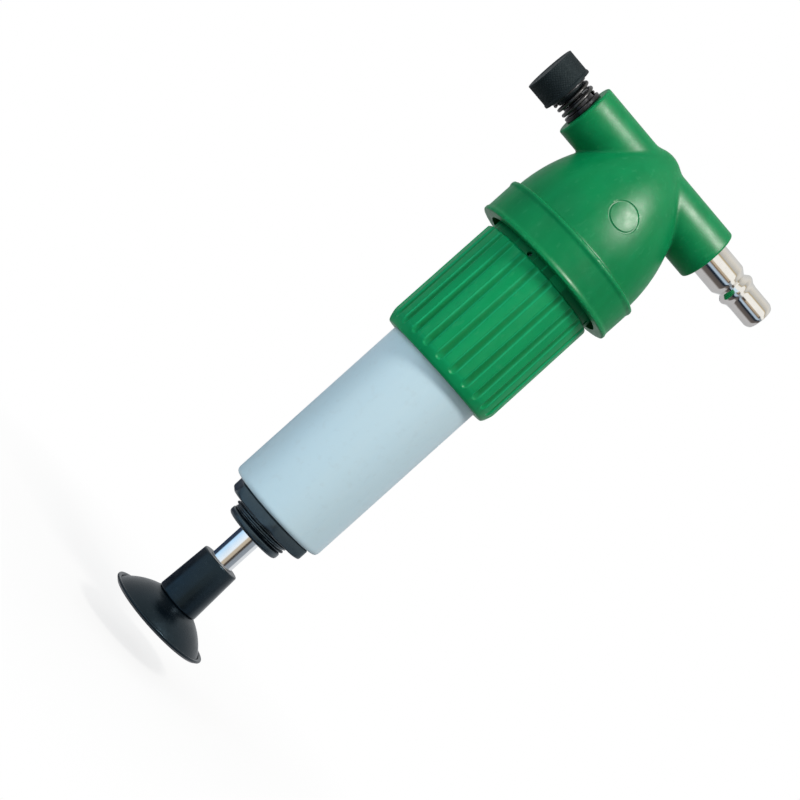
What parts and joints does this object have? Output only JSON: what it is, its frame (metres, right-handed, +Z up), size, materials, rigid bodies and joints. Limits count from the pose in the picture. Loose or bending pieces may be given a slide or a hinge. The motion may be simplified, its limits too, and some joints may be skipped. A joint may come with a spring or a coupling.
{
  "type": "pneumatic valve lapping tool",
  "caption": "Air-driven valve lapping tool: suction cup on a sprung piston rod, fluted grip sleeve, T head with quick-connect air plug and screw throttle.",
  "frame": {"origin": "centre of the suction cup's rim, where the barrel axis meets the surface that the cup sits on", "axes": "+Z up the barrel axis towards the head, +X along the cross tube towards the air plug, -X towards the throttle knob"},
  "size_m": [0.113, 0.06, 0.2363],
  "materials": {
    "green_plastic": "moulded green plastic with a soft satin gloss",
    "tube_plastic": "smooth pale blue-grey extruded plastic",
    "black_plastic": "black moulded plastic with a fine grain",
    "black_rubber": "smooth black rubber with a dull shine",
    "polished_chrome": "hard chromed and ground rod",
    "nickel_plate": "bright nickel plate on turned steel",
    "plated_steel": "zinc plated steel",
    "spring_steel": "drawn spring wire",
    "blackened_steel": "blackened, lightly oiled steel",
    "piston_alloy": "turned aluminium",
    "bronze": "oil-filled sintered bronze",
    "white_ptfe": "waxy white low-friction plastic",
    "white_acetal": "natural acetal tube"
  },
  "bodies": {
    "barrel": {"head": "green_plastic", "grip_sleeve": "green_plastic", "cylinder_tube": "tube_plastic", "hex_plug": "black_plastic", "gland": "black_plastic", "head_gasket": "black_rubber", "top_bumper": "black_rubber", "plug_o_ring": "black_rubber", "rod_seal": "black_rubber", "rod_wiper": "black_rubber", "guide_tube": "white_acetal", "lower_bush": "bronze", "upper_bush": "bronze", "stop_bumper": "black_rubber", "spring_seat": "plated_steel", "return_spring": "spring_steel", "air_plug": "nickel_plate", "air_plug_o_ring": "black_rubber", "valve_seat": "bronze", "throttle_bush": "blackened_steel", "throttle_spring": "blackened_steel"},
    "piston_unit": {"piston": "piston_alloy", "piston_seal": "black_rubber", "piston_wear_ring": "white_ptfe", "piston_bush": "bronze"},
    "rod_unit": {"piston_rod": "polished_chrome", "thrust_washer": "plated_steel", "rod_washer": "plated_steel", "rod_nut": "plated_steel", "suction_cup": "black_rubber"},
    "throttle_follower": {"throttle_washer": "blackened_steel"},
    "throttle_unit": {"throttle_knob": "black_plastic", "throttle_screw": "blackened_steel", "throttle_o_ring": "black_rubber"}
  },
  "joints": [
    {"name": "piston_slide", "type": "slide", "parent": "barrel", "child": "piston_unit", "axis": [0, 0, -1], "range_m": [0, 0.012], "stiffness_N_per_m": 600, "springref_m": -0.02, "deforming": ["return_spring"]},
    {"name": "rod_spin", "type": "hinge", "parent": "piston_unit", "child": "rod_unit", "pos_m": [0, 0, 0.18], "axis": [0, 0, 1], "continuous": true},
    {"name": "throttle_feed", "type": "slide", "parent": "barrel", "child": "throttle_follower", "axis": [1, 0, 0], "range_m": [0, 0.0015], "deforming": ["throttle_spring"]},
    {"name": "throttle_turn", "type": "hinge", "parent": "throttle_follower", "child": "throttle_unit", "pos_m": [-0.045, 0, 0.2234], "axis": [1, 0, 0], "range_deg": [0, 540]}
  ],
  "couplings": [
    {"joint": "throttle_turn", "follows": "throttle_feed", "rad_per_m": 6283.2}
  ]
}
